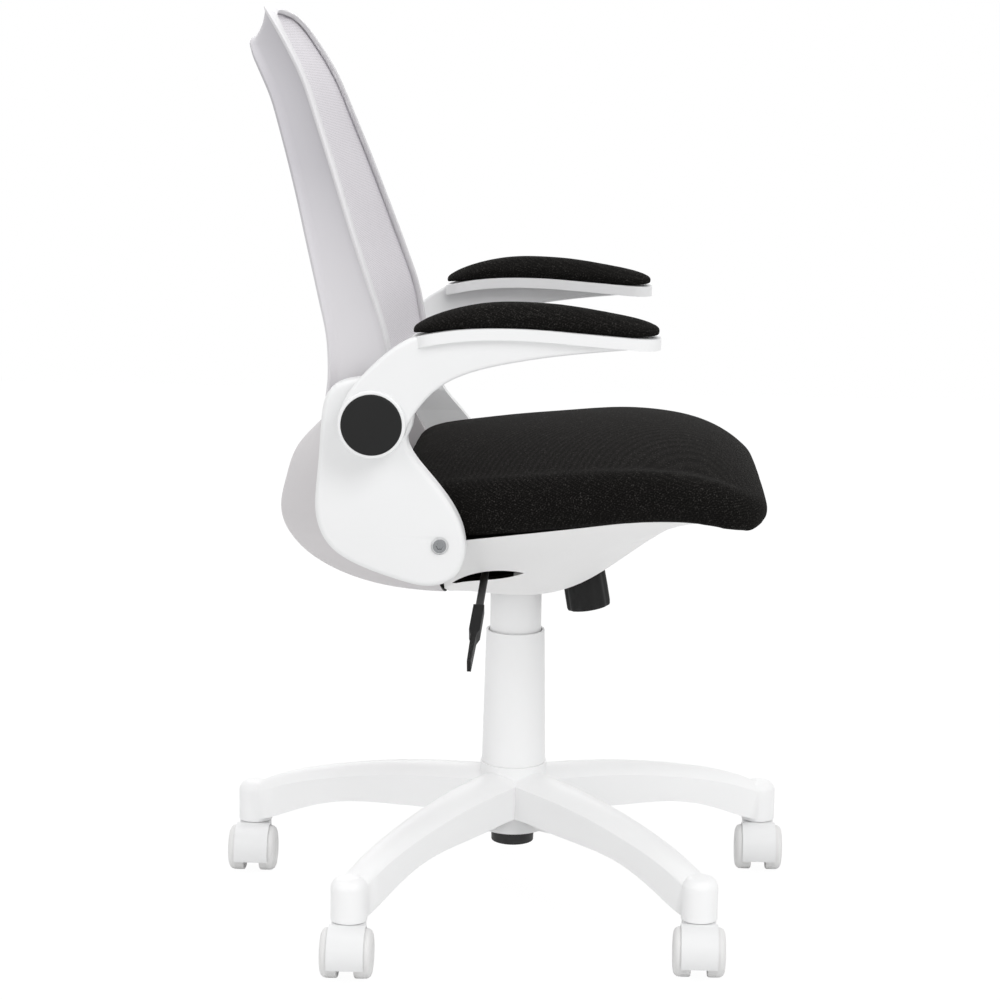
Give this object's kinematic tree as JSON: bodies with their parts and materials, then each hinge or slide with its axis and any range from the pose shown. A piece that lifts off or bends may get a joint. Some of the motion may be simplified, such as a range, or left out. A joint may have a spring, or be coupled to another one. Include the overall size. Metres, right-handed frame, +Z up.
{
  "type": "office chair",
  "caption": "Swivel office chair: white frame, reclined mesh back, black padded seat, flip-up padded armrests, gas lift, rocking seat and a castered star base.",
  "frame": {"origin": "on the floor, under the axis of the column", "axes": "+Z up along the column, the sitter faces -Y, the sitter's right hand is on the -X side"},
  "size_m": [0.6233, 0.6213, 0.9561],
  "materials": {
    "white_plastic": "satin moulded",
    "grey_plastic": "matte moulded",
    "black_plastic": "fine texture",
    "black_steel": "powder coat",
    "steel": "zinc plated",
    "bright_steel": "polished",
    "plywood": "raw",
    "black_fabric": "woven",
    "mesh_fabric": "open weave"
  },
  "bodies": {
    "base": {"star_base": "white_plastic", "lift_outer_tube": "black_steel", "lift_guide_bush": "black_plastic", "lift_thrust_bearing": "steel", "cover_lower": "white_plastic"},
    "caster_1": {"caster_1_stem": "steel", "caster_1_hood": "white_plastic", "caster_1_axle": "steel"},
    "caster_1_front": {"caster_1_wheel_front": "grey_plastic"},
    "caster_1_rear": {"caster_1_wheel_rear": "grey_plastic"},
    "caster_2": {"caster_2_stem": "steel", "caster_2_hood": "white_plastic", "caster_2_axle": "steel"},
    "caster_2_front": {"caster_2_wheel_front": "grey_plastic"},
    "caster_2_rear": {"caster_2_wheel_rear": "grey_plastic"},
    "caster_3": {"caster_3_stem": "steel", "caster_3_hood": "white_plastic", "caster_3_axle": "steel"},
    "caster_3_front": {"caster_3_wheel_front": "grey_plastic"},
    "caster_3_rear": {"caster_3_wheel_rear": "grey_plastic"},
    "caster_4": {"caster_4_stem": "steel", "caster_4_hood": "white_plastic", "caster_4_axle": "steel"},
    "caster_4_front": {"caster_4_wheel_front": "grey_plastic"},
    "caster_4_rear": {"caster_4_wheel_rear": "grey_plastic"},
    "caster_5": {"caster_5_stem": "steel", "caster_5_hood": "white_plastic", "caster_5_axle": "steel"},
    "caster_5_front": {"caster_5_wheel_front": "grey_plastic"},
    "caster_5_rear": {"caster_5_wheel_rear": "grey_plastic"},
    "lift_rod": {"lift_piston_rod": "steel"},
    "column": {"lift_cylinder": "steel", "cover_upper": "white_plastic", "mechanism_chassis": "black_steel", "tilt_pivot_shaft": "steel", "tension_spring": "steel"},
    "release_button": {"lift_release_button": "steel"},
    "lever_bush": {"lever_pivot_bush": "black_plastic"},
    "lever": {"lift_lever": "black_steel", "lever_handle": "black_plastic"},
    "seat": {"seat_plate": "black_steel", "seat_board": "plywood", "seat_cushion": "black_fabric", "seat_shell": "white_plastic", "back_carrier": "white_plastic", "side_bracket_right": "white_plastic", "side_bracket_left": "white_plastic", "back_frame": "white_plastic", "back_mesh": "mesh_fabric", "mounting_screws": "steel", "bracket_bolts": "bright_steel", "arm_pivot_bolts": "steel", "tension_bolt": "steel"},
    "tension_knob": {"tension_knob": "black_plastic"},
    "armrest_right": {"armrest_right": "white_plastic", "arm_pad_right": "black_fabric", "arm_cap_right": "black_plastic"},
    "armrest_left": {"armrest_left": "white_plastic", "arm_pad_left": "black_fabric", "arm_cap_left": "black_plastic"}
  },
  "joints": [
    {"name": "caster_1_swivel", "type": "hinge", "parent": "base", "child": "caster_1", "pos_m": [0.29881, 0.02667, 0.053], "axis": [0, 0, 1], "continuous": true},
    {"name": "caster_1_front_roll", "type": "hinge", "parent": "caster_1", "child": "caster_1_front", "pos_m": [0.27781, 0.02667, 0.025], "axis": [0, 1, 0], "continuous": true},
    {"name": "caster_1_rear_roll", "type": "hinge", "parent": "caster_1", "child": "caster_1_rear", "pos_m": [0.27781, 0.02667, 0.025], "axis": [0, 1, 0], "continuous": true},
    {"name": "caster_2_swivel", "type": "hinge", "parent": "base", "child": "caster_2", "pos_m": [0.06698, 0.29243, 0.053], "axis": [0, 0, 1], "continuous": true},
    {"name": "caster_2_front_roll", "type": "hinge", "parent": "caster_2", "child": "caster_2_front", "pos_m": [0.04598, 0.29243, 0.025], "axis": [0, 1, 0], "continuous": true},
    {"name": "caster_2_rear_roll", "type": "hinge", "parent": "caster_2", "child": "caster_2_rear", "pos_m": [0.04598, 0.29243, 0.025], "axis": [0, 1, 0], "continuous": true},
    {"name": "caster_3_swivel", "type": "hinge", "parent": "base", "child": "caster_3", "pos_m": [-0.25742, 0.15406, 0.053], "axis": [0, 0, 1], "continuous": true},
    {"name": "caster_3_front_roll", "type": "hinge", "parent": "caster_3", "child": "caster_3_front", "pos_m": [-0.27842, 0.15406, 0.025], "axis": [0, 1, 0], "continuous": true},
    {"name": "caster_3_rear_roll", "type": "hinge", "parent": "caster_3", "child": "caster_3_rear", "pos_m": [-0.27842, 0.15406, 0.025], "axis": [0, 1, 0], "continuous": true},
    {"name": "caster_4_swivel", "type": "hinge", "parent": "base", "child": "caster_4", "pos_m": [-0.22607, -0.19721, 0.053], "axis": [0, 0, 1], "continuous": true},
    {"name": "caster_4_front_roll", "type": "hinge", "parent": "caster_4", "child": "caster_4_front", "pos_m": [-0.24707, -0.19721, 0.025], "axis": [0, 1, 0], "continuous": true},
    {"name": "caster_4_rear_roll", "type": "hinge", "parent": "caster_4", "child": "caster_4_rear", "pos_m": [-0.24707, -0.19721, 0.025], "axis": [0, 1, 0], "continuous": true},
    {"name": "caster_5_swivel", "type": "hinge", "parent": "base", "child": "caster_5", "pos_m": [0.1177, -0.27595, 0.053], "axis": [0, 0, 1], "continuous": true},
    {"name": "caster_5_front_roll", "type": "hinge", "parent": "caster_5", "child": "caster_5_front", "pos_m": [0.0967, -0.27595, 0.025], "axis": [0, 1, 0], "continuous": true},
    {"name": "caster_5_rear_roll", "type": "hinge", "parent": "caster_5", "child": "caster_5_rear", "pos_m": [0.0967, -0.27595, 0.025], "axis": [0, 1, 0], "continuous": true},
    {"name": "seat_swivel", "type": "hinge", "parent": "base", "child": "lift_rod", "pos_m": [0, 0, 0.064], "axis": [0, 0, 1], "continuous": true},
    {"name": "seat_height", "type": "slide", "parent": "lift_rod", "child": "column", "axis": [0, 0, 1], "range_m": [-0.085, 0.015]},
    {"name": "button_press", "type": "slide", "parent": "column", "child": "release_button", "axis": [0, 0, -1], "range_m": [0, 0.0022], "stiffness_N_per_m": 500},
    {"name": "lever_lift", "type": "hinge", "parent": "column", "child": "lever_bush", "pos_m": [-0.03, 0.01366, 0.42025], "axis": [0, 1, 0], "range_deg": [0, 4], "stiffness_Nm_per_rad": 4, "springref_deg": -8.59},
    {"name": "lever_pull", "type": "slide", "parent": "lever_bush", "child": "lever", "axis": [-0.8829, 0.402, -0.2426], "range_m": [0, 0.008]},
    {"name": "seat_tilt", "type": "hinge", "parent": "column", "child": "seat", "pos_m": [0, 0.045, 0.408], "axis": [-1, 0, 0], "range_deg": [0, 9], "stiffness_Nm_per_rad": 150, "springref_deg": -11.46, "deforming": ["tension_spring"]},
    {"name": "knob_turn", "type": "hinge", "parent": "seat", "child": "tension_knob", "pos_m": [0, -0.079, 0.321], "axis": [0, 0.1736, 0.9848], "range_deg": [-360, 360]},
    {"name": "arm_flip_right", "type": "hinge", "parent": "seat", "child": "armrest_right", "pos_m": [-0.27, 0.132, 0.558], "axis": [-1, 0, 0], "range_deg": [0, 90]},
    {"name": "arm_flip_left", "type": "hinge", "parent": "seat", "child": "armrest_left", "pos_m": [0.27, 0.132, 0.558], "axis": [-1, 0, 0], "range_deg": [0, 90]}
  ],
  "couplings": [
    {"joint": "button_press", "follows": "lever_lift", "m_per_rad": 0.03}
  ]
}
